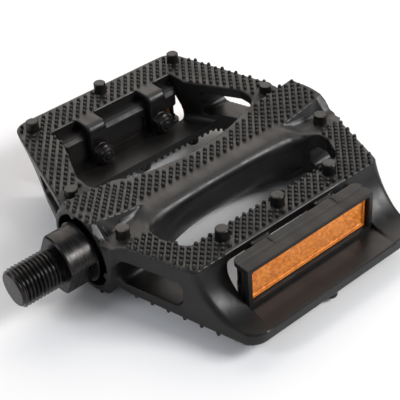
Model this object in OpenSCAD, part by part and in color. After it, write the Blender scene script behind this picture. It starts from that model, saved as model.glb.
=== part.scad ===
// Flat bicycle pedal: moulded platform on ball bearings, steel spindle, two bolted reflectors.
// X runs along the spindle and away from the crank, Z is up, and the origin is on the spindle's
// axis in the face of its crank shoulder. The platform is the same after half a turn about X.

/* [Platform] */
// Crank shoulder to the middle of the platform, along the spindle
shoulder_to_middle = 59.2; // [58:0.1:62]
// Platform length along the spindle
body_len = 96; // [94:1:100]
// Distance of each face's far edge from the axis
far_edge = 60; // [58:0.5:64]
// Distance of each face's near edge from the axis
near_edge = 39.7; // [39:0.1:40.5]
// Thickness of the platform between its two treads
body_thick = 18; // [17.5:0.1:19]
// Length of the far edge between its corners
far_edge_len = 69; // [66:1:72]
// Height of the treads above the axis at the two ends of the spine
hump_top = 13.4; // [12.9:0.1:14]

/* [Studs] */
// Diameter of a traction stud
stud_d = 4.2; // [3.6:0.1:5]
// Height of a stud on the bars
stud_h = 3.9; // [2.5:0.1:3.9]
// Depth of the lowered pads around the four side studs
pad_drop = 1.6; // [0.5:0.1:2]

/* [Spindle] */
// Diameter of the crank thread
thread_d = 12.7; // [12.7:0.01:14.3]
// Length of the crank thread
thread_len = 15; // [13:0.5:16]
// Diameter of the collar behind the crank shoulder
collar_d = 19.9; // [18:0.1:20]
// Width across the collar's two wrench flats
flats_w = 15; // [15:0.5:17]
// Diameter of a bearing ball
ball_d = 3.175; // [3.1:0.025:3.2]

/* [Reflectors] */
// Length of a reflector housing
refl_len = 51.4; // [50.5:0.1:51.8]
// Height of a reflector housing
refl_h = 14.6; // [13.5:0.1:14.8]
// Distance of each reflector's front rim from the axis
refl_front = 50; // [49.6:0.1:50.4]
// Distance between the two screws of a reflector
screw_gap = 26; // [25:0.5:27]

/* [Hidden] */
$fn = 64;

mould_black = [0.09, 0.085, 0.08];
steel_black = [0.16, 0.15, 0.15];
bare_steel = [0.62, 0.63, 0.65];
rubber_black = [0.05, 0.05, 0.05];
amber = [0.9, 0.45, 0.1, 0.85];

half_len = body_len / 2;
half_t = body_thick / 2;
far_x = far_edge_len / 2;          // corner of the far edge
corner_cut = 3;                    // chamfer at the corners of the far edge
end_y = 8;                         // half width of the flat end faces
past = 1;                          // overrun of a cut past a face
merge = 0.5;                       // overlap between parts of one moulding

// Windows and bars
window_x = 35;                     // half length of the windows beside the spine
window_y = 21;                     // where a window starts to narrow
bay_x = 26;                        // half length of the reflector bays
bay_y = 40;                        // where a window has narrowed to the bay
far_bar_y = 48;                    // inner edge of the far bar
far_bar_t = 3.7;
near_bar_y = 30;                   // inner edge of the near bar
near_bar_t = 3;
cheek_r = 18.4;                    // hollow of the cheeks beside the bays
cheek_lip = 2;                     // how far a cheek starts behind the far edge

// Spine
spine_y = 5.2;                     // half width of the spine's flat top
flank_r = 5;                       // round of the spine's flanks
web_y = 14.5;                      // spread of the spine at the ends of the windows
hump_x = 28;                       // where the humps start
hump_y = 8;                        // half width of a hump at its end
boss_r = 14;                       // round end bosses
boss_len = 9;
boss_out = 1;                      // how far the inboard boss stands out of the end face

// Pads, slots and posts
pad_x = 34.5;
pad_y0 = 5;
pad_y1 = 19;
slot_y0 = 14.2;
slot_y1 = 36;
slot_h = 8.8;
slot_r = 3;
slot_z = 1;                        // how far a slot's middle lies off the axis
post_y = 40.2;                     // face of a post towards the spine
post_t = 2.4;
post_w = 7.2;
post_bend = 3;

// Studs on one face: [x, y] of the bar studs, then of the side studs
bar_studs = [[-30.6, 53], [0, 56], [30.6, 53], [-22.1, -34], [0, -34], [22.1, -34]];
side_studs = [[-41.2, 15], [41.2, 15], [-41.2, -11.5], [41.2, -11.5]];

// Bearings, along the spindle from the crank shoulder
end_in = shoulder_to_middle - half_len;
end_out = shoulder_to_middle + half_len;
ball_r = ball_d / 2;
race_gap = 0.05;                   // between a ball and its race
play = 0.1;                        // between parts that turn against each other
recess_depth = 3;                  // recess around the collar, from the end face
in_balls = 13;
in_pitch_r = 7.7;
in_cup_r = 10.2;
in_cup_x = end_in + recess_depth;
in_ball_seat = 2.9;                // from the inboard cup's open end to its balls
in_ball_x = in_cup_x + in_ball_seat;
out_balls = 11;
out_pitch_r = 6.6;
out_cup_r = 9.2;
out_cup_depth = 14;                // from the outboard end to the floor of its cup
out_cup_x = end_out - out_cup_depth;
out_ball_seat = 3.1;               // from the outboard cup's closed end to its balls
out_ball_x = out_cup_x + out_ball_seat;
cup_len = 6;
cup_floor = 1.4;
recess_r = 12.2;
nub_r = 1.4;
nub_angles = [75, 195, 315];
bore_r = 6.6;
chamber_r = 9.4;
in_race_r = in_pitch_r - ball_r - race_gap;
out_race_r = out_pitch_r - ball_r - race_gap;
in_shell_r = in_pitch_r + ball_r + race_gap;
out_shell_r = out_pitch_r + ball_r + race_gap;
collar_len = in_cup_x - play;
flats_len = 8.8;
flats_turn = 27;                   // turn of the wrench flats about the spindle
thread_chamfer = 1;
shaft_r = 5.6;
tail_r = 4;
tail_x = out_cup_x - 3;
shaft_step = 3;                    // length of a taper between two diameters
race_land = 0.3;                   // how far the inner race runs past its balls
tail_play = 1.8;                   // between the end of the shaft and the outboard end
tail_end = end_out - tail_play;
cone_play = 1.6;                   // between the outboard cup's floor and the cone
cone_len = 5.8;
cone_step = 1;                     // length of the cone's shoulder
cone_x = out_cup_x + cone_play;
cone_end = cone_x + cone_len;
cone_head_r = 7.2;
floor_play = 1;                    // between a cup's floor and the shaft
seal_lip = 0.15;                   // between the seal's lip and the collar
seal_heel = 0.5;
seal_t = 1.4;
washer_t = 0.8;
nut_af = 12;
nut_t = 3.4;
cap_flange = 0.8;
cap_skirt = 2;
cap_wall = 1.2;
cap_web = 0.4;                     // how deep the cap's disc is set into the skirt
cap_rim = 1;                       // how far the flange covers the platform's end
cap_edge = 0.3;                    // chamfer of the flange and crown of the disc

// Reflectors
refl_depth = 7.3;
refl_back = refl_front - refl_depth;
refl_bottom = -half_t + far_bar_t;
refl_shift = -1.2;                 // middle of a bay and its housing, from the platform's middle
refl_wall = 1.4;
refl_side = 1.6;
refl_cut = 1.6;
lens_t = 1.6;
lens_set = 1.4;                    // how far the lens lies behind the rim
screw_r = 2;
screw_z = 2;
screw_head_r = 3.4;
screw_head_t = 1.8;
screw_tip = 35.2;
screw_play = 0.1;
small_washer_r = 3.7;
small_washer_t = 0.8;
small_nut_af = 7;
small_nut_t = 3.5;

function arc(cx, cy, r, a0, a1, n) = [for (i = [0 : n]) let (a = a0 + (a1 - a0) * i / n)
    [cx + r * cos(a), cy + r * sin(a)]];

// Centre of the circle of radius r that passes through p and q, on the left of p to q
function arc_centre(p, q, r) = let (d = q - p, l = norm(d), m = (p + q) / 2, n = [-d[1], d[0]] / l)
    m + n * sqrt(r * r - l * l / 4);

// A shape repeated after half a turn about the spindle
module both_faces() {
    children();
    rotate([180, 0, 0]) children();
}

// A child drawn from the middle of the platform
module at_middle() {
    translate([shoulder_to_middle, 0, 0]) children();
}

// Extrusions of outlines drawn in the XY, YZ and XZ planes, centred on the axis
module slab(z0, z1) {
    translate([0, 0, z0]) linear_extrude(z1 - z0) children();
}
module along_x(x0, x1) {
    translate([x0, 0, 0]) rotate([90, 0, 90]) linear_extrude(x1 - x0) children();
}
module along_y(y0, y1) {
    translate([0, y1, 0]) rotate([90, 0, 0]) linear_extrude(y1 - y0) children();
}
module turned_x() {
    rotate([0, 90, 0]) rotate_extrude() children();
}
module rod_x(x0, x1, r) {
    translate([x0, 0, 0]) rotate([0, 90, 0]) cylinder(h = x1 - x0, r = r);
}
module rod_y(y0, y1, r) {
    translate([0, y0, 0]) rotate([-90, 0, 0]) cylinder(h = y1 - y0, r = r);
}

// ---- Platform -------------------------------------------------------------------------------

module plan_outline() {
    quarter = [[half_len, end_y], [far_x, far_edge - corner_cut], [far_x - corner_cut, far_edge]];
    polygon(concat(
        quarter,
        [for (p = [quarter[2], quarter[1], quarter[0]]) [-p[0], p[1]]],
        [for (p = quarter) [-p[0], -p[1]]],
        [for (p = [quarter[2], quarter[1], quarter[0]]) [p[0], -p[1]]]));
}

// Side view along X: the far bar's tip, the hollow cheek and the near edge, then again below
module cheek_outline() {
    tip = [far_edge - cheek_lip, half_t - far_bar_t];
    foot = [near_edge, -half_t];
    c = arc_centre(tip, foot, cheek_r);
    a0 = atan2(tip[1] - c[1], tip[0] - c[0]);
    a1 = atan2(foot[1] - c[1], foot[0] - c[0]);
    half = concat([[far_edge, half_t], [far_edge, half_t - far_bar_t]],
                  arc(c[0], c[1], cheek_r, a0, a1 < a0 ? a1 + 360 : a1, 12));
    polygon(concat(half, [for (p = half) [-p[0], -p[1]]]));
}

module bay_outline() {
    bay_in = refl_shift - bay_x;
    bay_out = refl_shift + bay_x;
    polygon([[-window_x, 0], [-window_x, window_y], [bay_in, bay_y], [bay_in, far_edge + past],
             [bay_out, far_edge + past], [bay_out, bay_y], [window_x, window_y], [window_x, 0]]);
}

module blank() {
    intersection() {
        slab(-half_t, half_t) plan_outline();
        along_x(-half_len, half_len) cheek_outline();
    }
}

module bars() {
    intersection() {
        slab(-half_t, half_t) plan_outline();
        both_faces() union() {
            translate([-half_len, far_bar_y, half_t - far_bar_t])
                cube([body_len, far_edge - far_bar_y, far_bar_t]);
            translate([-half_len, -near_edge, half_t - near_bar_t])
                cube([body_len, near_edge - near_bar_y, near_bar_t]);
        }
    }
}

// Section of the spine: flat top, one rounded flank and one sloping wall, then again below
module spine_section() {
    half = concat([[spine_y, half_t]], arc(-spine_y, half_t - flank_r, flank_r, 90, 180, 12));
    polygon(concat(half, [for (p = half) [-p[0], -p[1]]]));
}

// The spine spreads along an arc towards the ends of the windows
module spine_web() {
    rise = web_y - spine_y;
    r = (window_x * window_x + rise * rise) / (2 * rise);
    intersection() {
        translate([-window_x - merge, 0]) square([2 * (window_x + merge), web_y]);
        difference() {
            translate([-window_x - merge, 0]) square([2 * (window_x + merge), web_y]);
            translate([0, spine_y + r]) circle(r = r, $fn = 128);
        }
    }
}

module humps() {
    intersection() {
        along_y(-hump_y, hump_y) polygon([
            [-hump_x, half_t], [hump_x, half_t], [half_len, hump_top], [half_len, -hump_top],
            [hump_x, -half_t], [-hump_x, -half_t], [-half_len, -hump_top], [-half_len, hump_top]]);
        slab(-hump_top, hump_top) polygon([
            [-half_len, hump_y], [-hump_x, spine_y], [hump_x, spine_y], [half_len, hump_y],
            [half_len, -hump_y], [hump_x, -spine_y], [-hump_x, -spine_y], [-half_len, -hump_y]]);
    }
}

module bosses() {
    intersection() {
        union() {
            rod_x(-half_len - boss_out, -half_len + boss_len, boss_r);
            rod_x(half_len - boss_len, half_len, boss_r);
        }
        cube([body_len + 2 * boss_out, 2 * boss_r, 2 * hump_top], center = true);
    }
}

// Posts that hold a reflector: a strap bends down from the far bar
module posts() {
    for (x = [-screw_gap / 2, screw_gap / 2])
        along_x(x - post_w / 2, x + post_w / 2) {
            translate([post_y, -half_t]) square([post_t, body_thick - post_bend]);
            translate([post_y + post_bend, half_t - post_bend]) difference() {
                intersection() {
                    circle(r = post_bend);
                    translate([-post_bend, 0]) square(post_bend);
                }
                circle(r = post_bend - post_t);
            }
            translate([post_y + post_bend, half_t - post_t])
                square([far_bar_y + merge - post_y - post_bend, post_t]);
            translate([near_edge - merge, -half_t]) square([post_y - near_edge + 2 * merge, near_bar_t]);
        }
}

module pads() {
    for (s = [-1, 1])
        translate([s > 0 ? pad_x : -half_len - past, 0, half_t - pad_drop]) {
            translate([0, pad_y0, 0]) cube([half_len + past - pad_x, pad_y1 - pad_y0, pad_drop + past]);
            translate([0, -pad_y1, 0]) cube([half_len + past - pad_x, pad_y1 - pad_y0, pad_drop + past]);
        }
}

module studs() {
    for (p = bar_studs)
        translate([p[0], p[1], half_t - merge]) cylinder(h = stud_h + merge, d = stud_d);
    for (p = side_studs)
        translate([p[0], p[1], half_t - pad_drop - merge]) cylinder(h = stud_h + merge, d = stud_d);
}

// Slots through the side walls, into the windows
module slots() {
    along_x(-half_len - past, half_len + past)
        difference() {
            translate([slot_y0, slot_z - slot_h / 2]) square([slot_y1 - slot_y0, slot_h]);
            for (y = [slot_y0, slot_y1], z = [-1, 1])
                translate([y, slot_z + z * slot_h / 2]) difference() {
                    square(2 * slot_r, center = true);
                    translate([y == slot_y0 ? slot_r : -slot_r, -z * slot_r]) circle(r = slot_r);
                }
        }
}

module slot_cuts() {
    intersection() {
        slots();
        for (s = [-1, 1])
            translate([s > 0 ? bay_x : -half_len - past, 0, -half_t])
                cube([half_len + past - bay_x, slot_y1 + past, body_thick]);
    }
}

// Bores for the cups, the spindle, the seal and the dust cap
module spindle_bores() {
    rod_x(end_in + cup_len, end_out - cup_len, bore_r);
    rod_x(in_cup_x - past, in_cup_x + cup_len, in_cup_r);
    rod_x(out_cup_x, out_cup_x + cup_len, out_cup_r);
    rod_x(out_cup_x + cup_len - merge, end_out + past, chamber_r);
    difference() {
        rod_x(end_in - boss_out - past, in_cup_x, recess_r);
        for (a = nub_angles)
            rotate([a, 0, 0]) translate([0, recess_r, 0]) rod_x(end_in - boss_out, in_cup_x, nub_r);
    }
}

module pedal_body() {
    color(mould_black)
    difference() {
        at_middle() union() {
            difference() {
                blank();
                both_faces() slab(-half_t - past, half_t + past) bay_outline();
                both_faces() slot_cuts();
                both_faces() pads();
            }
            bars();
            along_x(-half_len + merge, half_len - merge) spine_section();
            both_faces() slab(0, half_t) spine_web();
            humps();
            bosses();
            both_faces() posts();
            both_faces() studs();
        }
        spindle_bores();
        at_middle() both_faces() for (x = [-screw_gap / 2, screw_gap / 2])
            translate([x, 0, -screw_z]) rod_y(post_y - past, post_y + post_t + past, screw_r + screw_play);
    }
}

// ---- Spindle and bearings -------------------------------------------------------------------

module spindle() {
    color(steel_black)
    difference() {
        turned_x() polygon([
            [0, -thread_len], [thread_d / 2 - thread_chamfer, -thread_len],
            [thread_d / 2, -thread_len + thread_chamfer], [thread_d / 2, 0], [collar_d / 2, 0],
            [collar_d / 2, collar_len], [in_race_r, collar_len],
            [in_race_r, in_ball_x + ball_r + race_land], [shaft_r, in_ball_x + ball_r + shaft_step],
            [shaft_r, tail_x - shaft_step], [tail_r, tail_x], [tail_r, tail_end], [0, tail_end]]);
        rotate([flats_turn, 0, 0]) for (s = [-1, 1])
            translate([-past, s > 0 ? flats_w / 2 : -flats_w / 2 - collar_d, -collar_d])
                cube([flats_len + past, collar_d, 2 * collar_d]);
    }
}

// A pressed cup: a shell around the balls with a floor behind them
module cup(shell_r, outer_r, floor_r) {
    turned_x() polygon([[floor_r, 0], [outer_r, 0], [outer_r, cup_len], [shell_r, cup_len],
                        [shell_r, cup_floor], [floor_r, cup_floor]]);
}

module inboard_cup() {
    color(bare_steel)
    translate([in_cup_x + cup_len, 0, 0]) mirror([1, 0, 0])
        cup(in_shell_r, in_cup_r, in_race_r + floor_play);
}

module outboard_cup() {
    color(bare_steel)
    translate([out_cup_x, 0, 0]) cup(out_shell_r, out_cup_r, shaft_r + floor_play);
}

module balls(x, pitch_r, count) {
    for (i = [0 : count - 1])
        rotate([i * 360 / count, 0, 0]) translate([x, pitch_r, 0]) sphere(r = ball_r);
}

module inboard_balls() {
    color(bare_steel) balls(in_ball_x, in_pitch_r, in_balls);
}

module outboard_balls() {
    color(bare_steel) balls(out_ball_x, out_pitch_r, out_balls);
}

module dust_seal() {
    rim = recess_r - nub_r - play;
    color(rubber_black)
    turned_x() polygon([[collar_d / 2 + seal_lip, in_cup_x - seal_t], [rim, in_cup_x - seal_t],
                        [rim, in_cup_x], [collar_d / 2 + seal_heel, in_cup_x]]);
}

module adjusting_cone() {
    color(bare_steel)
    turned_x() polygon([[tail_r, cone_x], [out_race_r, cone_x], [out_race_r, out_ball_x + ball_r],
                        [cone_head_r, out_ball_x + ball_r + cone_step], [cone_head_r, cone_end],
                        [tail_r, cone_end]]);
}

module lock_washer() {
    color(bare_steel)
    turned_x() polygon([[tail_r, cone_end], [nut_af / 2, cone_end],
                        [nut_af / 2, cone_end + washer_t], [tail_r, cone_end + washer_t]]);
}

module lock_nut() {
    color(bare_steel)
    difference() {
        translate([cone_end + washer_t, 0, 0]) rotate([0, 90, 0])
            cylinder(h = nut_t, r = nut_af / sqrt(3), $fn = 6);
        rod_x(cone_end, tail_end + past, tail_r);
    }
}

module dust_cap() {
    top = end_out + cap_flange;
    color(mould_black)
    turned_x() polygon([[0, end_out - cap_web], [chamber_r - cap_wall, end_out - cap_web],
                        [chamber_r - cap_wall, end_out - cap_skirt], [chamber_r, end_out - cap_skirt],
                        [chamber_r, end_out], [chamber_r + cap_rim, end_out],
                        [chamber_r + cap_rim, top - cap_edge], [chamber_r + cap_edge, top],
                        [0, top + cap_edge]]);
}

// ---- Reflectors, drawn for the rear side, where they hang under the top face's far bar --------

module refl_box(inset_x, inset_z, y0, y1) {
    translate([refl_shift - refl_len / 2 + inset_x, y0, -refl_bottom - refl_h + inset_z])
        cube([refl_len - 2 * inset_x, y1 - y0, refl_h - 2 * inset_z]);
}

// Section of a housing, whose edge by the bent posts is cut off
module refl_section(inset, front, cut) {
    back = refl_back + inset;
    high = -refl_bottom - inset;
    low = -refl_bottom - refl_h + inset;
    polygon([[back, low], [front, low], [front, high], [back + cut, high], [back, high - cut]]);
}

module reflector_housing() {
    color(mould_black)
    difference() {
        along_x(refl_shift - refl_len / 2, refl_shift + refl_len / 2)
            refl_section(0, refl_front, refl_cut);
        along_x(refl_shift - refl_len / 2 + refl_side, refl_shift + refl_len / 2 - refl_side)
            refl_section(refl_wall, refl_front + past, refl_cut - refl_wall * (2 - sqrt(2)));
        screw_places() rod_y(refl_back - past, refl_front, screw_r + screw_play);
    }
}

module reflector_lens() {
    color(amber) refl_box(refl_side, refl_wall, refl_front - lens_set - lens_t, refl_front - lens_set);
}

module screw_places() {
    for (x = [-screw_gap / 2, screw_gap / 2])
        translate([x, 0, -screw_z]) children();
}

module reflector_screws() {
    color(steel_black)
    screw_places() {
        rod_y(screw_tip, refl_back + refl_wall + merge, screw_r);
        rod_y(refl_back + refl_wall, refl_back + refl_wall + screw_head_t, screw_head_r);
    }
}

module reflector_washers() {
    color(steel_black)
    screw_places() difference() {
        rod_y(post_y - small_washer_t, post_y, small_washer_r);
        rod_y(post_y - small_washer_t - past, post_y + past, screw_r);
    }
}

module reflector_nuts() {
    color(steel_black)
    screw_places() difference() {
        translate([0, post_y - small_washer_t, 0]) rotate([90, 0, 0])
            cylinder(h = small_nut_t, r = small_nut_af / sqrt(3), $fn = 6);
        rod_y(screw_tip - past, post_y + past, screw_r);
    }
}

module rear_side() {
    at_middle() children();
}
module front_side() {
    at_middle() rotate([180, 0, 0]) children();
}

module rear_reflector_housing() { rear_side() reflector_housing(); }
module rear_reflector_lens() { rear_side() reflector_lens(); }
module rear_reflector_screws() { rear_side() reflector_screws(); }
module rear_reflector_washers() { rear_side() reflector_washers(); }
module rear_reflector_nuts() { rear_side() reflector_nuts(); }
module front_reflector_housing() { front_side() reflector_housing(); }
module front_reflector_lens() { front_side() reflector_lens(); }
module front_reflector_screws() { front_side() reflector_screws(); }
module front_reflector_washers() { front_side() reflector_washers(); }
module front_reflector_nuts() { front_side() reflector_nuts(); }

pedal_body();
spindle();
inboard_cup();
inboard_balls();
dust_seal();
outboard_cup();
outboard_balls();
adjusting_cone();
lock_washer();
lock_nut();
dust_cap();
front_reflector_housing();
front_reflector_lens();
front_reflector_screws();
front_reflector_washers();
front_reflector_nuts();
rear_reflector_housing();
rear_reflector_lens();
rear_reflector_screws();
rear_reflector_washers();
rear_reflector_nuts();
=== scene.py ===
"""The looks of a flat bicycle pedal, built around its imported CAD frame.

Shapes are worked out in millimetres, centred on the middle of the platform, and written to meshes in
metres in the CAD's frame: X along the spindle away from the crank, Z up.
"""

import math

import bmesh
import bpy
import numpy as np
from mathutils import Matrix, Vector


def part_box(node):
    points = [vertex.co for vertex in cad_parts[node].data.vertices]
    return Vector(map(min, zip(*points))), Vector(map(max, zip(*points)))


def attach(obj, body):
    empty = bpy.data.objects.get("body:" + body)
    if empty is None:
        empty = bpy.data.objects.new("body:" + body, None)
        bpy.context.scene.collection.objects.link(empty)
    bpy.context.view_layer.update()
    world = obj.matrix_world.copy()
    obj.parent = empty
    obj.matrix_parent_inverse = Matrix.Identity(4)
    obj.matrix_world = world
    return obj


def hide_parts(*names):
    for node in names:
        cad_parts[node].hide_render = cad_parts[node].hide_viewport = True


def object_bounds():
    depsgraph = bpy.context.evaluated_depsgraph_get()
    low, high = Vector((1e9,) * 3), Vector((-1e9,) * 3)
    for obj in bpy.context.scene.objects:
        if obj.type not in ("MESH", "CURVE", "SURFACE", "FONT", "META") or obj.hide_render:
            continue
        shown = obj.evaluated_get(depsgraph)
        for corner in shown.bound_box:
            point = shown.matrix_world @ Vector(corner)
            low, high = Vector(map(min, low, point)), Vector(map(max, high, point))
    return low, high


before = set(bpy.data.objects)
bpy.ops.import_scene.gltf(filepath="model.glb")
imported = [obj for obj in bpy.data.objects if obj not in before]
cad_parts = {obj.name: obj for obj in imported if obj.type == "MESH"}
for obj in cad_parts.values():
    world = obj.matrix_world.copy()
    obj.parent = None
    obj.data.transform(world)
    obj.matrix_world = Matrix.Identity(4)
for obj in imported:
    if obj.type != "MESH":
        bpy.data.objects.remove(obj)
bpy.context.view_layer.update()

MM = 0.001


def box_mm(node):
    """Lowest and highest corner of a CAD node, in millimetres."""
    lo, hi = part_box(node)
    return np.array(lo) / MM, np.array(hi) / MM


# ---- Sizes, in millimetres ------------------------------------------------------------------------

body_lo, body_hi = box_mm("pedal_body")
spindle_lo, spindle_hi = box_mm("spindle")
housing_lo, housing_hi = box_mm("rear_reflector_housing")
lens_lo, lens_hi = box_mm("rear_reflector_lens")
screw_lo, screw_hi = box_mm("rear_reflector_screws")
nut_lo = box_mm("rear_reflector_nuts")[0]
washer_lo, washer_hi = box_mm("rear_reflector_washers")
cup_lo, cup_hi = box_mm("inboard_cup")
cap_lo, cap_hi = box_mm("dust_cap")

BOSS_OUT = 1.0                              # how far the inboard boss stands out of the end face
MIDDLE = (body_lo[0] + BOSS_OUT + body_hi[0]) / 2
HALF_LEN = body_hi[0] - MIDDLE
FAR = body_hi[1]                            # far edge of each face
CROWN = 12.9                                # tips of the tall studs, and ends of the spine's top
TREAD = 9.0                                 # height of the treads above the axis
FAR_BAR = (48.0, 3.7)                       # inner edge and thickness of the far bars
NEAR_BAR = (30.0, 39.7, 3.0)                # inner edge, outer edge and thickness of the near bars
SHELF = TREAD - FAR_BAR[1]                  # height of the shelf that a far bar makes in its bay
CHEEK_R = 18.8                              # hollow of the cheeks beside the bays
POST_X = 13.0                               # posts and screws, from the middle
POST_HALF = 3.6                             # half width of a post
SCREW_DROP = 2.0                            # reflector screws, from the spindle's plane
SCREW_HOLE_R = 2.1
HUMP_START = 28.0                           # where the spine's top starts to rise
BAY_X = 26.0                                # half length of the reflector bays
BAY_SHIFT = -1.2                            # middle of the bays along the spindle
WINDOW_X = 35.0                             # half length of the windows beside the spine
WINDOW_V, BAY_V = 21.0, 40.0                # where a window starts and ends narrowing to its bay
SHOULDER_X, SHOULDER_V = 47.0, 12.0         # where the outer walls start to slant inwards
LONG_SLANT, SHORT_SLANT = 12.0 / 45.0, 8.8 / 26.0    # slants towards a far edge and a near edge
SPINE_HALF = 5.2                            # half width of the spine's tread in the middle
SPINE_CURVE_R = 70.5                        # curve of the spine's rim
SPINE_FRONT = 5.0                           # front rim of the spine's top
FLATS_TURN = math.radians(27.0)             # turn of the collar's wrench flats


# ---- Solid fields: negative inside, in millimetres -------------------------------------------------
# A factor just under 1 on a slanted wall brings the slope of its field back to about 1.

def smooth_min(a, b, k):
    """Union of two fields with a fillet of about k."""
    h = np.maximum(k - np.abs(a - b), 0.0) / k
    return np.minimum(a, b) - h * h * k * 0.25


def smooth_max(a, b, k):
    """Overlap of two fields with its edges rounded by about k."""
    return -smooth_min(-a, -b, k)


def ramp(t):
    """0 below t = 0, 1 above t = 1 and smooth between."""
    t = np.clip(t, 0.0, 1.0)
    return t * t * (3.0 - 2.0 * t)


def rounded_box(a, b, half_a, half_b, radius):
    """Field of a rectangle with round corners, from distances along two axes."""
    qa = np.abs(a) - (half_a - radius)
    qb = np.abs(b) - (half_b - radius)
    outside = np.hypot(np.maximum(qa, 0.0), np.maximum(qb, 0.0))
    return outside + np.minimum(np.maximum(qa, qb), 0.0) - radius


def arc_centre(p, q, radius):
    """Centre of the circle through p and q that lies on the left of the way from p to q."""
    p, q = np.array(p), np.array(q)
    along = q - p
    length = np.hypot(*along)
    normal = np.array([-along[1], along[0]]) / length
    return (p + q) / 2 + normal * math.sqrt(radius ** 2 - length ** 2 / 4)


def spine_rim(ax):
    """Half width of the spine at the sharp edge of a tread, which spreads towards the ends."""
    arc = np.sqrt(np.maximum(SPINE_CURVE_R ** 2 - np.minimum(ax, 34.0) ** 2, 0.0))
    return SPINE_HALF + SPINE_CURVE_R - arc - 0.16 * np.maximum(ax - 30.0, 0.0)


def hump_rim(ax):
    """Rear rim of the spine's raised top, which runs a little inwards towards the ends."""
    return np.minimum(spine_rim(ax), 11.0 - 0.1 * (ax - HUMP_START))


def hump_top(ax):
    """Height of the spine's top, which rises towards both ends."""
    slope = (CROWN - TREAD) / (HALF_LEN - HUMP_START)
    return TREAD + slope * np.maximum(ax - HUMP_START, 0.0)


def side_walls(ax, v, w):
    """The platform's outer walls and hollow cheeks. v is the distance from the spindle's plane,
    and w the height towards the face whose far edge lies on this side."""
    long_edge = SHOULDER_X + (SHOULDER_V - v) * LONG_SLANT
    short_edge = SHOULDER_X + (SHOULDER_V - v) * SHORT_SLANT
    share = np.clip((w + TREAD) / (2 * TREAD), 0.0, 1.0)
    edge = short_edge + (long_edge - short_edge) * share
    walls = smooth_max((ax - edge) * 0.96, ax - HALF_LEN, 1.2)
    corner_r, lip = 5.0, 2.0
    walls = smooth_max(walls, v - FAR, corner_r)
    tip = np.array([FAR - lip, SHELF])
    foot = np.array([NEAR_BAR[1], -TREAD])
    centre = arc_centre(tip, foot, CHEEK_R)
    chord = (foot - tip) / np.hypot(*(foot - tip))
    beyond = (v - tip[0]) * chord[1] - (w - tip[1]) * chord[0]
    scooped = np.hypot(v - centre[0], w - centre[1]) - CHEEK_R
    cheek = np.maximum(w - SHELF, np.minimum(beyond, scooped))
    soft = 0.5 + 1.3 * ramp((56.0 - v) / 8.0)
    return smooth_max(walls, -cheek, soft)


def openings(x, v, w):
    """The windows and bays between the side walls, around the two bars of this side."""
    bay_end = BAY_X + np.where(x < 0, -BAY_SHIFT, BAY_SHIFT)
    narrowing = (WINDOW_X - bay_end) / (BAY_V - WINDOW_V) * np.maximum(v - WINDOW_V, 0.0)
    hollow = (np.abs(x) - np.maximum(WINDOW_X - narrowing, bay_end)) * 0.88
    far_bar = np.maximum(FAR_BAR[0] - v, SHELF - w)
    near_bar = np.maximum(NEAR_BAR[0] - v, w + TREAD - NEAR_BAR[2])
    near_bar = np.maximum(near_bar, v - NEAR_BAR[1])
    corner = 3.0 - 2.4 * ramp((v - 43.0) / 3.0)
    return smooth_max(hollow, -np.minimum(far_bar, near_bar), corner)


def tread_drop(ax, v):
    """How far a tread lies below its full height: the smooth scoops round the side studs."""
    depth = 1.7
    along = ramp((ax - 28.5) / 6.0)
    across = ramp((19.0 - v) / 9.0)
    return depth * along * across


def posts(ax, v, w):
    """The two posts of this side: straps that bend down from the far bar to the near bar."""
    bend, strap = 3.0, 2.4
    turn_v, turn_w = 40.2 + bend, TREAD - bend
    bent = np.abs(np.hypot(v - turn_v, w - turn_w) - (bend - strap / 2)) - strap / 2
    straight = np.abs(v - (turn_v - bend + strap / 2)) - strap / 2
    level = np.maximum(np.abs(w - TREAD + strap / 2) - strap / 2, v - FAR_BAR[0] - 1.5)
    section = np.where(v > turn_v, level, np.where(w > turn_w, bent, straight))
    foot = np.maximum(np.abs(v - 40.5) - 1.6, w + TREAD - NEAR_BAR[2])
    section = smooth_min(section, foot, 1.5)
    section = np.maximum(section, 1.8 - TREAD - w)
    return smooth_max(section, np.abs(ax - POST_X) - POST_HALF, 0.7)


# Tall studs of one face: distance from the middle, and place across it towards the face's far edge
BAR_STUDS = ((0.0, 56.2), (30.6, 53.0), (0.0, -33.9), (22.1, -33.9))
SIDE_STUDS = ((41.3, 15.0), (41.3, -11.4))
STUD_R = 2.1
SIDE_STUD_TOP = 11.15


def studs(ax, face_y, face_z):
    """The tall studs of the face that face_z points out of."""
    field = np.full_like(ax, 1e3)
    for places, top, foot in ((BAR_STUDS, CROWN, TREAD), (SIDE_STUDS, SIDE_STUD_TOP, TREAD - 1.5)):
        for px, py in places:
            taper = STUD_R + 0.03 * (top - face_z)
            round_side = np.hypot(ax - px, face_y - py) - taper
            stud = smooth_max(round_side, face_z - top, 0.35)
            stud = np.maximum(stud, foot - 2.0 - face_z)
            field = np.minimum(field, stud)
    return field


def bores(x, radial, y, z):
    """The spindle's bore, the cups' seats, the dust cap's seat and the recess behind the collar."""
    inboard = x + HALF_LEN
    outboard = HALF_LEN - x
    cup_r = (cup_hi[1] - cup_lo[1]) / 2
    cap_r = (cap_hi[1] - cap_lo[1]) / 2 - 1.0
    bore_r, recess_r, nub_r = 6.6, 12.2, 1.4
    cup_depth, cap_depth, recess_depth = 9.0, 14.0, 3.0
    field = np.maximum(radial - bore_r, np.abs(x) - HALF_LEN + 8.0)
    field = np.minimum(field, np.maximum(radial - cup_r, inboard - cup_depth))
    field = np.minimum(field, np.maximum(radial - cap_r, outboard - cap_depth))
    recess = np.maximum(radial - recess_r, inboard - recess_depth)
    for angle in (75.0, 195.0, 315.0):
        a = math.radians(angle)
        nub = np.hypot(y - recess_r * math.cos(a), z - recess_r * math.sin(a)) - nub_r
        recess = np.maximum(recess, -nub)
    return np.minimum(field, recess)


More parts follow.
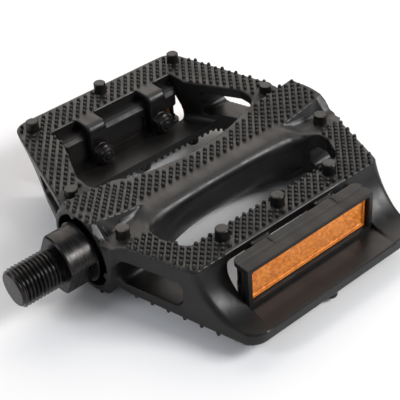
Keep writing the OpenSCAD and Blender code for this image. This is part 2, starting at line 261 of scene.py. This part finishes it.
def platform(p):
    """Field of the whole platform moulding at points p, shape (n, 3)."""
    x, y, z = p[:, 0], p[:, 1], p[:, 2]
    ax, v, az = np.abs(x), np.abs(y), np.abs(z)
    w = np.where(y < 0, -z, z)
    radial = np.hypot(y, z)

    ring = smooth_max(side_walls(ax, v, w), -openings(x, v, w), 0.4)
    share = np.clip((w + TREAD) / (2 * TREAD), 0.0, 1.0)
    flank = 12.7 + 1.2 * ramp((ax - 24.0) / 10.0)
    wall = (v - (flank + (spine_rim(ax) - flank) * share)) * 0.92
    spine = np.maximum(wall, ax - HALF_LEN + 0.5)
    plan = smooth_min(ring, spine, 4.0)
    on_flank = (w < 0) & (v < 16.0)
    flank_soft = 6.0 * ramp((36.0 - ax) / 8.0) * ramp((16.0 - v) / 3.0)
    soft = 0.7 + np.where(on_flank, flank_soft, 0.0)
    field = smooth_max(plan, az - TREAD + tread_drop(ax, v), soft)

    face_y = np.where(z < 0, -y, y)
    top = hump_top(ax)
    rear_side = (face_y - hump_rim(ax) - (top - az) * 0.45) * 0.9
    front_side = (-face_y - SPINE_FRONT - (top - az) * 0.55) * 0.87
    hump = smooth_max(np.maximum(rear_side, front_side), (az - top) * 0.98, 0.35)
    hump = np.maximum(hump, np.maximum(26.0 - ax, 5.0 - az))
    hump = smooth_max(hump, ax - HALF_LEN, 0.5)
    field = smooth_min(field, hump, 0.8)

    boss_end = np.where(x < 0, BOSS_OUT, 0.0) + HALF_LEN
    taper = 0.9 * np.maximum(boss_end - ax - 2.2, 0.0)
    boss = (radial - np.where(x < 0, 13.2, 11.8) + taper) * 0.86
    boss = np.maximum(np.maximum(boss, HALF_LEN - 8.0 - ax), (az - top) * 0.98)
    boss = smooth_max(boss, ax - boss_end, 0.5)
    field = smooth_min(field, boss, 3.0)
    tube_r = 10.0
    tube = np.maximum(np.maximum(radial - tube_r, ax - HALF_LEN + 1.0), az - TREAD + 1.0)
    field = smooth_min(field, tube, 1.0)

    slot_v, slot_w, slot_r = 25.1, 1.0, 3.0
    slot = rounded_box(v - slot_v, w - slot_w, 10.9, 4.4, slot_r)
    slot = np.maximum(slot, 28.0 - ax)
    field = smooth_max(field, -slot, 0.4)
    field = smooth_min(field, posts(ax, v, w), 1.0)
    field = np.maximum(field, az - top)
    field = smooth_min(field, studs(ax, face_y, az), 0.4)
    screw_hole = np.hypot(ax - POST_X, w + SCREW_DROP) - SCREW_HOLE_R
    screw_hole = np.maximum(screw_hole, np.abs(v - 41.7) - 4.0)
    field = np.maximum(field, -screw_hole)
    return smooth_max(field, -bores(x, radial, y, z), 0.3)


def housing(p):
    """Field of the rear reflector's housing, whose open side faces +Y."""
    x, y, z = p[:, 0], p[:, 1], p[:, 2]
    ax = np.abs(x)
    x_mid = (housing_lo[0] + housing_hi[0]) / 2 - MIDDLE
    along = np.abs(x - x_mid)
    half = (housing_hi[0] - housing_lo[0]) / 2
    low, high = housing_lo[2], housing_hi[2]
    back, front = housing_lo[1], housing_hi[1]
    lens_half = (lens_hi[0] - lens_lo[0]) / 2
    mid_z, half_z = (low + high) / 2, (high - low) / 2
    past_front = 4.0
    plan_y, plan_half = (back + front + past_front) / 2, (front - back + past_front) / 2
    plan = rounded_box(along, y - plan_y, half, plan_half, 2.4)
    wall_in = np.where((z > low + 2.0) & (y < front - 1.2), 0.55, 0.0)
    plan = plan + wall_in * ramp((along - half + 3.0) / 2.0)
    outer = smooth_max(plan, np.abs(z - mid_z) - half_z, 0.4)
    outer = smooth_max(outer, y - front, 0.3)
    cut = (z - high + 1.6 + back - y) * 0.7071
    outer = smooth_max(outer, cut, 0.4)
    lens_z, lens_half_z = (lens_lo[2] + lens_hi[2]) / 2, (lens_hi[2] - lens_lo[2]) / 2
    hollow = rounded_box(along, z - lens_z, lens_half, lens_half_z, 0.7)
    hollow = np.maximum(np.maximum(hollow, back + 1.2 - y), cut + 1.1)
    field = smooth_max(outer, -hollow, 0.2)
    for at in (back + 2.9, back + 3.9):
        groove = np.maximum(np.abs(y - at) * 1.2 + np.abs(z - low) - 0.42, along - half + 0.4)
        field = np.maximum(field, -groove)
    tick = np.maximum(np.abs(ax - POST_X) * 1.2 + np.abs(z - low) - 0.36, y - back - 3.9)
    field = np.maximum(field, -tick)
    for at in (back + 3.0, back + 4.4, back + 5.8):
        rib = np.maximum(np.abs(y - at) + np.abs(along - half + 0.55) - 0.35, low + 2.4 - z)
        field = np.maximum(field, -rib)
    panel = np.maximum(rounded_box(x, z - mid_z - 0.4, 7.8, 3.6, 2.4), y - back - 0.6)
    holes = np.maximum(np.hypot(ax - POST_X, z + SCREW_DROP) - SCREW_HOLE_R, y - back - 3.0)
    notch_len = np.where(x > x_mid, 6.0, 1.9)
    notch = np.maximum(half - notch_len - along, np.abs(z + 4.3) - 3.4)
    notch = np.maximum(notch, y - lens_lo[1] + 0.8)
    return np.maximum(smooth_max(field, -panel, 0.3), -np.minimum(holes, notch))


# ---- Meshes ----------------------------------------------------------------------------------------

def gradient(field, p, h=0.01):
    """Unit slope of a field at points p."""
    out = np.empty_like(p)
    for n in range(3):
        d = np.zeros(3)
        d[n] = h
        out[:, n] = field(p + d) - field(p - d)
    return out / np.maximum(np.linalg.norm(out, axis=1), 1e-9)[:, None]


def sampled(field, lo, hi, step):
    """A field's values on a grid."""
    axes = [np.arange(lo[i], hi[i] + step, step) for i in range(3)]
    grid = np.stack(np.meshgrid(*axes, indexing="ij"), -1)
    shape = grid.shape[:3]
    grid = grid.reshape(-1, 3)
    chunk = 400_000
    parts = [field(grid[i:i + chunk]) for i in range(0, len(grid), chunk)]
    return np.concatenate(parts).reshape(shape)


def contour(field, lo, hi, step):
    """Vertices and quads on a field's zero level. Each grid cell that the level crosses gets the
    point that fits the tangent planes on its edges best, so edges and corners stay sharp."""
    value = sampled(field, lo, hi, step)
    inside = value < 0
    cells = tuple(n - 1 for n in value.shape)
    size = int(np.prod(cells))
    matrix = np.zeros((6, size))
    target = np.zeros((3, size))
    mass = np.zeros((3, size))
    count = np.zeros(size)
    pairs = ((0, 0), (0, 1), (0, 2), (1, 1), (1, 2), (2, 2))
    quads = []
    for axis in range(3):
        u, w = (axis + 1) % 3, (axis + 2) % 3
        first = [slice(1, -1)] * 3
        first[axis] = slice(0, -1)
        second = list(first)
        second[axis] = slice(1, None)
        start, end = inside[tuple(first)], inside[tuple(second)]
        cross = start != end
        base = np.argwhere(cross) + np.array([0 if n == axis else 1 for n in range(3)])
        va, vb = value[tuple(first)][cross], value[tuple(second)][cross]
        point = np.array(lo) + base * step
        point[:, axis] += va / (va - vb) * step
        normal = gradient(field, point)
        offset = (normal * point).sum(1)
        quad = []
        for du, dw in ((0, 0), (1, 0), (1, 1), (0, 1)):
            cell = base.copy()
            cell[:, u] -= du
            cell[:, w] -= dw
            flat = np.ravel_multi_index(cell.T, cells)
            quad.append(flat)
            for n, (i, j) in enumerate(pairs):
                matrix[n] += np.bincount(flat, normal[:, i] * normal[:, j], size)
            for n in range(3):
                target[n] += np.bincount(flat, normal[:, n] * offset, size)
                mass[n] += np.bincount(flat, point[:, n], size)
            count += np.bincount(flat, minlength=size)
        quad = np.stack(quad, 1)
        falling = start[cross]
        quad[falling] = quad[falling][:, ::-1]
        quads.append(quad[:, ::-1])
    active = np.flatnonzero(count)
    tally = count[active]
    centre = (mass[:, active] / tally).T
    normal_matrix = np.empty((len(active), 3, 3))
    for n, (i, j) in enumerate(pairs):
        normal_matrix[:, i, j] = normal_matrix[:, j, i] = matrix[n, active]
    right = target[:, active].T - np.einsum("nij,nj->ni", normal_matrix, centre)
    normal_matrix += np.eye(3) * (0.03 * tally)[:, None, None]
    points = centre + np.linalg.solve(normal_matrix, right[..., None])[..., 0]
    cell_lo = np.stack(np.unravel_index(active, cells), 1) * step + np.array(lo)
    points = np.clip(points, cell_lo - 0.1 * step, cell_lo + 1.1 * step)
    index = np.full(size, -1)
    index[active] = np.arange(len(active))
    return points, index[np.concatenate(quads)]


def piece(name, verts, faces, material, body="platform", slot=None, replaces=(), sharp=35.0):
    """A mesh object from points in millimetres round the platform's middle, riding on a CAD body."""
    mesh = bpy.data.meshes.new(name)
    points = (np.asarray(verts, float) + np.array([MIDDLE, 0.0, 0.0])) * MM
    mesh.from_pydata(points.tolist(), [], [tuple(map(int, f)) for f in faces])
    tidy = bmesh.new()
    tidy.from_mesh(mesh)
    bmesh.ops.remove_doubles(tidy, verts=tidy.verts, dist=1e-7)
    bmesh.ops.recalc_face_normals(tidy, faces=tidy.faces)
    tidy.to_mesh(mesh)
    tidy.free()
    mesh.validate()
    mesh.materials.append(material)
    mesh.polygons.foreach_set("use_smooth", [True] * len(mesh.polygons))
    mesh.set_sharp_from_angle(angle=math.radians(sharp))
    obj = bpy.data.objects.new(name, mesh)
    bpy.context.scene.collection.objects.link(obj)
    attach(obj, body)
    if replaces:
        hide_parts(*replaces)
    return obj


def half_turn(points):
    """The same points after half a turn about the spindle."""
    return np.asarray(points) * np.array([1.0, -1.0, -1.0])


def join(parts):
    """One list of vertices and faces from several."""
    verts, faces, base = [], [], 0
    for v, f in parts:
        verts.append(np.asarray(v, float))
        faces += [tuple(base + i for i in face) for face in f]
        base += len(v)
    return np.concatenate(verts), faces


def turned(rings, angles=None):
    """A closed solid about X from rings of (x, radius). A radius is a number, or one per angle."""
    if angles is None:
        angles = np.arange(48) * 2 * math.pi / 48
    sides = len(angles)
    verts = []
    for x, radius in rings:
        r = np.broadcast_to(radius, sides)
        verts += [(x, r[j] * math.cos(a), r[j] * math.sin(a)) for j, a in enumerate(angles)]
    faces = []
    for i in range(len(rings) - 1):
        for j in range(sides):
            k = (j + 1) % sides
            faces.append((i * sides + j, (i + 1) * sides + j, (i + 1) * sides + k, i * sides + k))
    faces.append(tuple(range(sides)))
    faces.append(tuple(reversed(range((len(rings) - 1) * sides, len(rings) * sides))))
    return np.array(verts), faces


def facing_y(points, x, z):
    """Points drawn along X, turned to run along Y at x and z."""
    points = np.asarray(points)
    return np.stack([x - points[:, 1], points[:, 0], z + points[:, 2]], 1)


def both_sides(name, parts, material, slot, sharp=35.0):
    """A rear piece and its twin after half a turn, for the node rear_NAME and front_NAME."""
    verts, faces = join(parts)
    for side, points in (("rear_", verts), ("front_", half_turn(verts))):
        node = side + name
        piece(node + "_piece", points, faces, material, slot=slot, sharp=sharp, replaces=[node])


# ---- Materials -------------------------------------------------------------------------------------

def shader(name, color, roughness, metallic=0.0, **sockets):
    """A Principled material with its node tree, ready for more nodes."""
    material = bpy.data.materials.new(name)
    material.use_nodes = True
    tree = material.node_tree
    main = tree.nodes["Principled BSDF"]
    main.inputs["Base Color"].default_value = (*color, 1.0)
    main.inputs["Roughness"].default_value = roughness
    main.inputs["Metallic"].default_value = metallic
    for key, value in sockets.items():
        main.inputs[key.replace("_", " ")].default_value = value
    return material, tree, main


def noise(tree, scale, detail=3.0, stretch=(1.0, 1.0, 1.0)):
    """A noise texture in the object's own metres."""
    place = tree.nodes.new("ShaderNodeTexCoord")
    mapping = tree.nodes.new("ShaderNodeMapping")
    mapping.inputs["Scale"].default_value = stretch
    texture = tree.nodes.new("ShaderNodeTexNoise")
    texture.inputs["Scale"].default_value = scale
    texture.inputs["Detail"].default_value = detail
    tree.links.new(place.outputs["Object"], mapping.inputs["Vector"])
    tree.links.new(mapping.outputs["Vector"], texture.inputs["Vector"])
    return texture


def spread(tree, source, low, high, start=0.35, end=0.65):
    """Maps a texture's middle range onto low to high."""
    node = tree.nodes.new("ShaderNodeMapRange")
    node.inputs["From Min"].default_value = start
    node.inputs["From Max"].default_value = end
    node.inputs["To Min"].default_value = low
    node.inputs["To Max"].default_value = high
    tree.links.new(source.outputs[0], node.inputs["Value"])
    return node


def tint(tree, source, dark, light):
    """A colour between two, by a texture."""
    node = tree.nodes.new("ShaderNodeValToRGB")
    node.color_ramp.elements[0].position = 0.35
    node.color_ramp.elements[1].position = 0.65
    node.color_ramp.elements[0].color = (*dark, 1.0)
    node.color_ramp.elements[1].color = (*light, 1.0)
    tree.links.new(source.outputs[0], node.inputs["Fac"])
    return node


def bump(tree, source, depth, main):
    """Relief of that depth, in metres, from a texture."""
    node = tree.nodes.new("ShaderNodeBump")
    node.inputs["Strength"].default_value = 1.0
    node.inputs["Distance"].default_value = depth
    tree.links.new(source.outputs[0], node.inputs["Height"])
    tree.links.new(node.outputs["Normal"], main.inputs["Normal"])
    return node


def moulded(name, dark, light, rough=(0.36, 0.5), grain=0.00002, **sockets):
    """Moulded plastic: cloudy colour, uneven gloss and a fine pitted grain."""
    material, tree, main = shader(name, light, sum(rough) / 2, **sockets)
    cloud = noise(tree, 90.0, 4.0)
    pits = noise(tree, 1500.0, 2.0)
    scuffs = noise(tree, 260.0, 5.0, (1.0, 0.25, 1.0))
    tree.links.new(tint(tree, cloud, dark, light).outputs["Color"], main.inputs["Base Color"])
    tree.links.new(spread(tree, scuffs, *rough).outputs["Result"], main.inputs["Roughness"])
    bump(tree, pits, grain, main)
    return material


def lens_plastic(name):
    """Clear amber plastic over prisms: mottled colour that darkens in small patches, and a gloss coat."""
    material, tree, main = shader(name, (0.75, 0.22, 0.02), 0.18, Coat_Weight=0.5, Coat_Roughness=0.08)
    patches = noise(tree, 800.0, 5.0)
    mottle = tint(tree, patches, (0.55, 0.14, 0.01), (0.86, 0.29, 0.035))
    tree.links.new(mottle.outputs["Color"], main.inputs["Base Color"])
    ripple = noise(tree, 1100.0, 2.0)
    tree.links.new(spread(tree, ripple, 0.1, 0.28).outputs["Result"], main.inputs["Roughness"])
    bump(tree, ripple, 0.00003, main)
    return material


def steel(name, dark, light, rough=(0.25, 0.42)):
    """Turned steel: fine marks round the axis, uneven gloss."""
    material, tree, main = shader(name, light, sum(rough) / 2, metallic=1.0)
    marks = noise(tree, 900.0, 3.0, (2.0, 0.1, 0.1))
    cloud = noise(tree, 160.0, 4.0)
    tree.links.new(tint(tree, cloud, dark, light).outputs["Color"], main.inputs["Base Color"])
    tree.links.new(spread(tree, marks, *rough).outputs["Result"], main.inputs["Roughness"])
    bump(tree, marks, 0.000004, main)
    return material


black_moulding = moulded("black_moulding", (0.006, 0.0055, 0.005), (0.011, 0.0098, 0.009), (0.42, 0.56))
satin_moulding = moulded("satin_moulding", (0.005, 0.0045, 0.0042), (0.01, 0.0085, 0.0078), (0.32, 0.44),
                         0.000014, Specular_IOR_Level=0.32)
smooth_black = moulded("smooth_black", (0.007, 0.0062, 0.006), (0.012, 0.0104, 0.0096), (0.36, 0.5),
                       Specular_IOR_Level=0.25)
black_steel = steel("black_steel", (0.022, 0.021, 0.021), (0.05, 0.047, 0.045), (0.22, 0.36))
dark_fastener = steel("dark_fastener", (0.03, 0.028, 0.028), (0.06, 0.057, 0.055), (0.32, 0.46))
bright_steel = steel("bright_steel", (0.5, 0.5, 0.52), (0.66, 0.66, 0.68), (0.14, 0.25))
rubber = moulded("seal_rubber", (0.012, 0.012, 0.012), (0.02, 0.02, 0.02), (0.55, 0.7))
cap_plastic = moulded("cap_plastic", (0.016, 0.015, 0.015), (0.024, 0.022, 0.022), (0.25, 0.35), 0.000006)
amber = lens_plastic("amber_lens")


# ---- Platform ----------------------------------------------------------------------------------------

def build_platform():
    step = 0.5
    margin = 1.3
    hi = np.array([HALF_LEN + margin, FAR + margin, CROWN + margin])
    points, faces = contour(platform, -hi - np.array([BOSS_OUT, 0.0, 0.0]), hi, step)
    body = piece("platform_moulding", points, faces, black_moulding, slot="moulding",
                 replaces=["pedal_body"])
    body.data.materials.append(satin_moulding)
    for face in body.data.polygons:
        on_tread = abs(face.center.z) > 7.2 * MM and abs(face.normal.z) > 0.85
        face.material_index = 0 if on_tread else 1
    print("platform faces", len(faces))


# Tread points by region of a face: from, to, pitch along a row, and from row to row
POINT_REGIONS = ((-40.0, -11.0, 2.68, 1.42), (-11.0, 14.0, 2.84, 1.62), (14.0, 61.0, 2.95, 1.92))
POINT_R = 0.68
POINT_H = 1.2


def point_places():
    """Where the small points of the upper tread stand: in staggered rows, wherever the tread is flat."""
    places = []
    for start, end, pitch, row in POINT_REGIONS:
        for j in range(int((end - start) / row)):
            shift = pitch / 2 if j % 2 else 0.0
            for i in range(-int(50 / pitch), int(50 / pitch) + 1):
                places.append((i * pitch + shift, start + (j + 0.5) * row))
    places = np.array(places)
    x, y = places[:, 0], places[:, 1]
    ax = np.abs(x)
    top = np.where((y < hump_rim(ax) + 0.3) & (y > -8.0), hump_top(ax), TREAD)
    z = top + 0.3
    for _ in range(4):
        z = z - platform(np.stack([x, y, z], 1))
    keep = (np.abs(z - top) < 0.35) & (ax < HALF_LEN + 0.5)
    rim, drop = 0.5, 0.5
    keep &= y < FAR - 1.2
    for turn in range(8):
        a = turn * math.pi / 4
        dx, dy = rim * math.cos(a), rim * math.sin(a)
        keep &= platform(np.stack([x + dx, y + dy, z - drop], 1)) < 0.0
        keep &= platform(np.stack([x + dx, y + dy, z + drop], 1)) > 0.0
    for px, py in BAR_STUDS + SIDE_STUDS:
        keep &= np.hypot(ax - px, y - py) > STUD_R + POINT_R + 0.2
    on_strap = (np.abs(ax - POST_X) < POST_HALF) & (y > 39.5) & (y < FAR_BAR[0] + 0.5)
    keep &= ~on_strap
    smooth_strip = 2.0 - 2.0 * ramp((ax - HUMP_START) / 12.0)
    front = -2.2 - 2.3 * ramp((ax - 24.0) / 10.0)
    on_spine = (np.abs(y) < 14.0) & (ax < 40.0)
    keep &= ~on_spine | ((y < spine_rim(ax) - smooth_strip) & (y > front))
    return np.stack([x[keep], y[keep], z[keep]], 1)


def build_tread_points():
    """Small round-topped points on both treads, in one mesh per tread."""
    profile = ((-0.35, POINT_R + 0.05), (0.7, POINT_R - 0.06), (1.02, POINT_R - 0.2), (POINT_H, 0.2))
    sides = 8
    places = point_places()
    angles = np.arange(sides) * 2 * math.pi / sides
    ring = [(r * math.cos(a), r * math.sin(a), h) for h, r in profile for a in angles]
    ring = np.array(ring)
    verts = (places[:, None, :] + ring[None, :, :]).reshape(-1, 3)
    one = []
    for i in range(len(profile) - 1):
        for j in range(sides):
            k = (j + 1) % sides
            one.append((i * sides + j, i * sides + k, (i + 1) * sides + k, (i + 1) * sides + j))
    one.append(tuple(range((len(profile) - 1) * sides, len(profile) * sides)))
    faces = [tuple(i + n * len(ring) for i in face) for n in range(len(places)) for face in one]
    piece("upper_tread_points", verts, faces, black_moulding, slot="moulding", sharp=60.0)
    piece("lower_tread_points", half_turn(verts), faces, black_moulding, slot="moulding", sharp=60.0)
    print("tread points", len(places))


# ---- Spindle ------------------------------------------------------------------------------------------

def thread(start, end, crest, pitch, chamfer, steps=40, parts=8):
    """A closed right-hand screw thread about X from start to end, chamfered at its start."""
    depth = 0.6 * pitch
    root = crest - depth
    flanks = [1.35 - 2.25 * abs(2.0 * n / parts - 1.0) for n in range(parts)]
    shape = [root + depth * min(1.0, max(0.0, flank)) for flank in flanks]
    rows = int(math.ceil((end - start) / pitch) + 2) * parts
    verts = []
    for i in range(rows):
        for j in range(steps):
            turn = j / steps
            x = start + (i / parts - 1.0 - turn) * pitch
            x_in = min(max(x, start), end)
            radius = min(shape[i % parts], crest - chamfer + (x_in - start))
            if x_in >= end:
                radius = root
            angle = 2 * math.pi * turn
            verts.append((x_in, radius * math.cos(angle), radius * math.sin(angle)))
    faces = []
    for i in range(rows - 1):
        for j in range(steps):
            here, ahead = i * steps + j, (i + 1) * steps + j
            if j < steps - 1:
                faces.append((here, ahead, ahead + 1, here + 1))
            elif i + 1 + parts < rows:
                faces.append((here, ahead, (i + 1 + parts) * steps, (i + parts) * steps))
    return np.array(verts), faces


def build_spindle():
    half_flats = 7.5
    shoulder = -MIDDLE
    collar_r = (spindle_hi[1] - spindle_lo[1]) / 2
    collar_r = max(collar_r, (spindle_hi[2] - spindle_lo[2]) / 2)
    corner = math.acos(half_flats / collar_r)
    regular = list(np.arange(72) * 2 * math.pi / 72)
    corners = [FLATS_TURN + math.pi * n + s * corner for n in (0, 1) for s in (-1, 1)]
    angles = np.array(sorted(regular + [a % (2 * math.pi) for a in corners]))
    flat = half_flats / np.maximum(np.abs(np.cos(angles - FLATS_TURN)), 0.01)

    def cut(r):
        return np.minimum(r, flat)

    thread_r, pitch = 6.35, 1.27
    neck = thread_r - 0.75
    seat_r, shaft_r, tail_r = 6.06, 5.6, 4.0
    flats_end = shoulder + 8.8
    cup_x = cup_lo[0] - MIDDLE
    tail = spindle_hi[0] - MIDDLE
    rings = [(shoulder - 1.4, neck), (shoulder, neck), (shoulder, cut(collar_r - 0.5)),
             (shoulder + 0.5, cut(collar_r)), (flats_end, cut(collar_r)), (flats_end, collar_r - 0.15),
             (flats_end + 0.15, collar_r), (cup_x - 0.1, collar_r), (cup_x - 0.1, seat_r),
             (cup_x + 4.8, seat_r), (cup_x + 7.5, shaft_r), (HALF_LEN - 20.0, shaft_r),
             (HALF_LEN - 17.0, tail_r), (tail - 0.5, tail_r), (tail, tail_r - 0.5)]
    collar = turned(rings, angles)
    start = spindle_lo[0] - MIDDLE
    screw = thread(start, shoulder - 1.1, thread_r, pitch, 1.0)
    verts, faces = join([collar, screw])
    piece("threaded_spindle", verts, faces, black_steel, body="spindle", slot="spindle_steel",
          replaces=["spindle"])
    cap = turned([(start - 0.02, thread_r - 1.15), (start + 0.4, thread_r - 1.0)])
    piece("spindle_end_face", *cap, black_steel, body="spindle", slot="spindle_steel")


# ---- Reflectors, drawn for the rear side ------------------------------------------------------------------

def build_housings():
    step = 0.32
    margin = 1.0
    lo = housing_lo - np.array([MIDDLE, 0.0, 0.0]) - margin
    hi = housing_hi - np.array([MIDDLE, 0.0, 0.0]) + margin
    verts, faces = contour(housing, lo, hi, step)
    both_sides("reflector_housing", [(verts, faces)], smooth_black, "reflector_housing")
    print("housing faces", len(faces))


def build_lenses():
    """A plate with a raised border round a quilt of small prisms."""
    half_x = (lens_hi[0] - lens_lo[0]) / 2 - 0.1
    half_z = (lens_hi[2] - lens_lo[2]) / 2 - 0.1
    mid_x = (lens_lo[0] + lens_hi[0]) / 2 - MIDDLE
    mid_z = (lens_lo[2] + lens_hi[2]) / 2
    front, back = lens_hi[1], lens_lo[1]
    border = ((0.0, -0.3), (0.25, 0.0), (1.05, 0.0), (1.3, -0.55))
    prism, step_in = 0.95, 1.5

    def stations(half):
        """Places along one side, each with the border's height there, or None among the prisms."""
        inner = half - step_in
        count = 2 * round(inner / prism)
        rim = [(inset - half, height) for inset, height in border]
        middle = [(-inner + 2 * inner * n / count, None) for n in range(count + 1)]
        return rim + middle + [(-at, height) for at, height in reversed(rim)]

    xs, zs = stations(half_x), stations(half_z)
    nz = len(zs)
    verts = []
    for i, (x, x_height) in enumerate(xs):
        for j, (z, z_height) in enumerate(zs):
            rims = [height for height in (x_height, z_height) if height is not None]
            if rims:
                inset = min(half_x - abs(x), half_z - abs(z))
                height = np.interp(inset, *zip(*border))
            else:
                height = -0.25 - 0.55 * ((i + j) % 2)
            verts.append((mid_x + x, front + height, mid_z + z))
    faces = []
    for i in range(len(xs) - 1):
        for j in range(nz - 1):
            faces.append((i * nz + j, i * nz + j + 1, (i + 1) * nz + j + 1, (i + 1) * nz + j))
    rim = [i * nz for i in range(len(xs))] + [(len(xs) - 1) * nz + j for j in range(1, nz)]
    rim += [i * nz + nz - 1 for i in range(len(xs) - 2, -1, -1)] + [j for j in range(nz - 2, 0, -1)]
    base = len(verts)
    verts += [(verts[i][0], back, verts[i][2]) for i in rim]
    count = len(rim)
    for n in range(count):
        m = (n + 1) % count
        faces.append((rim[n], rim[m], base + m, base + n))
    faces.append(tuple(base + n for n in range(count)))
    both_sides("reflector_lens", [(np.array(verts), faces)], amber, "amber_lens", sharp=12.0)


def build_fasteners():
    """Screws from inside the housings, with a washer and a locking nut behind each post."""
    screw_z = (screw_lo[2] + screw_hi[2]) / 2
    face = washer_hi[1]
    angles = np.arange(48) * 2 * math.pi / 48
    flats = 3.5
    hexagon = flats / np.cos((angles + math.pi / 6) % (math.pi / 3) - math.pi / 6)
    washer_r = (washer_hi[0] - washer_lo[0]) / 2 - POST_X
    behind = washer_lo[1]
    washer_rings = [(behind, washer_r - 0.15), (behind + 0.15, washer_r), (face - 0.1, washer_r),
                    (face, washer_r - 0.1)]
    nut_end, nut_side = nut_lo[1], np.minimum(hexagon, 3.95)
    nut_rings = [(nut_end, 2.3), (nut_end + 0.25, 2.75), (nut_end + 0.9, 3.0), (nut_end + 0.95, 3.3),
                 (nut_end + 1.35, nut_side), (behind - 0.3, nut_side), (behind, 3.35)]
    tip = screw_lo[1]
    shank = [(tip, 0.5), (tip + 0.12, 1.05), (tip + 0.45, 1.6), (tip + 0.9, 1.9)]
    shank += [(tip + 0.9 + 0.35 * n, 1.98 if n % 2 else 1.72) for n in range(1, 6)]
    shank += [(housing_lo[1] + 1.4, 1.98)]
    head, crown = housing_lo[1] + 1.2, screw_hi[1]
    head_rings = [(head, 3.4), (crown - 0.8, 3.4), (crown - 0.3, 2.9), (crown, 1.6)]
    sets = {"washers": [washer_rings], "nuts": [nut_rings], "screws": [shank, head_rings]}
    for name, solids in sets.items():
        parts = []
        for x in (-POST_X, POST_X):
            for rings in solids:
                verts, faces = turned(rings, angles)
                parts.append((facing_y(verts, x, screw_z), faces))
        both_sides("reflector_" + name, parts, dark_fastener, "fastener_steel", sharp=25.0)


# ---- Dust cap and the parts inside ----------------------------------------------------------------------

def build_dust_cap():
    """A pressed-in cap with a raised rim, a shallow dished face and a ring of small grip notches."""
    end = HALF_LEN
    flange = (cap_hi[1] - cap_lo[1]) / 2
    seat = flange - 1.0
    angles = np.arange(96) * 2 * math.pi / 96
    notch = np.where(np.arange(96) % 8 < 2, 0.35, 0.0)
    rings = [(end - 2.0, seat - 0.3), (end - 1.7, seat - 0.02), (end, seat - 0.02), (end, flange - notch),
             (end + 0.45, flange - notch), (end + 0.8, flange - 0.45 - notch), (end + 0.8, seat - 1.2),
             (end + 0.35, seat - 1.7), (end + 0.3, 3.2), (end + 0.65, 2.8), (end + 1.0, 2.4),
             (end + 1.05, 0.4)]
    piece("end_cap", *turned(rings, angles), cap_plastic, slot="cap_plastic", replaces=["dust_cap"])


def finish_inner_parts():
    """Materials of the CAD parts that stay: cups, balls, cone, washer, nut and seal."""
    looks = {"dust_seal": rubber}
    for name in ("inboard_cup", "outboard_cup", "inboard_balls", "outboard_balls", "adjusting_cone",
                 "lock_washer", "lock_nut"):
        looks[name] = bright_steel
    for name, material in looks.items():
        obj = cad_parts[name]
        for n in range(len(obj.material_slots)):
            obj.material_slots[n].material = material


build_platform()
build_tread_points()
build_spindle()
build_housings()
build_lenses()
build_fasteners()
build_dust_cap()
finish_inner_parts()


# ---- Stage, light and camera ----------------------------------------------------------------------------

def area_light(name, at, size, power, color=(1.0, 1.0, 1.0)):
    """A rectangular softbox, in metres, that faces the middle of the pedal."""
    data = bpy.data.lights.new(name, "AREA")
    data.energy = power
    data.color = color
    data.shape = "RECTANGLE"
    data.size, data.size_y = size
    obj = bpy.data.objects.new(name, data)
    obj.location = at
    obj.rotation_mode = "QUATERNION"
    obj.rotation_quaternion = (Vector((MIDDLE * MM, 0.0, 0.0)) - Vector(at)).to_track_quat("-Z", "Y")
    bpy.context.scene.collection.objects.link(obj)


def build_stage():
    """A pale floor under the pedal, a pale grey room and three softboxes."""
    size = 6.0
    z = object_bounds()[0][2] - 0.0002
    mesh = bpy.data.meshes.new("floor")
    mesh.from_pydata([(-size, -size, z), (size, -size, z), (size, size, z), (-size, size, z)], [],
                     [(0, 1, 2, 3)])
    mesh.materials.append(shader("floor_paper", (0.86, 0.86, 0.86), 0.9)[0])
    floor = bpy.data.objects.new("floor", mesh)
    bpy.context.scene.collection.objects.link(floor)
    world = bpy.data.worlds.new("studio")
    world.use_nodes = True
    back = world.node_tree.nodes["Background"]
    back.inputs["Color"].default_value = (0.93, 0.95, 1.0, 1.0)
    back.inputs["Strength"].default_value = 0.35
    bpy.context.scene.world = world
    area_light("key", (0.56, -0.6, 0.6), (0.45, 0.3), 8.5)
    area_light("rim", (-0.8, 0.35, 0.7), (0.3, 0.3), 3.0, (0.86, 0.91, 1.0))
    area_light("back_panel", (0.7, 0.85, 0.85), (1.6, 1.2), 13.0, (1.0, 0.92, 0.84))


def build_camera():
    """A camera that looks along a bearing from +X, down by an elevation, and rolled a little."""
    bearing, down, roll = (math.radians(a) for a in (52.34, 38.30, -4.65))
    ahead = Vector((math.cos(down) * math.cos(bearing), math.cos(down) * math.sin(bearing), -math.sin(down)))
    right = Vector((math.sin(bearing), -math.cos(bearing), 0.0))
    up = right.cross(ahead)
    level = Matrix((right, up, -ahead)).transposed()
    data = bpy.data.cameras.new("camera")
    data.sensor_width = 36.0
    data.lens = 92.3
    data.clip_start, data.clip_end = 0.01, 50.0
    obj = bpy.data.objects.new("camera", data)
    obj.matrix_world = Matrix.Translation(Vector((MIDDLE - 164.36, -209.14, 201.91)) * MM) @ (
        level @ Matrix.Rotation(roll, 3, "Z")).to_4x4()
    bpy.context.scene.collection.objects.link(obj)
    bpy.context.scene.camera = obj


bpy.context.scene.view_settings.view_transform = "Standard"
build_stage()
build_camera()
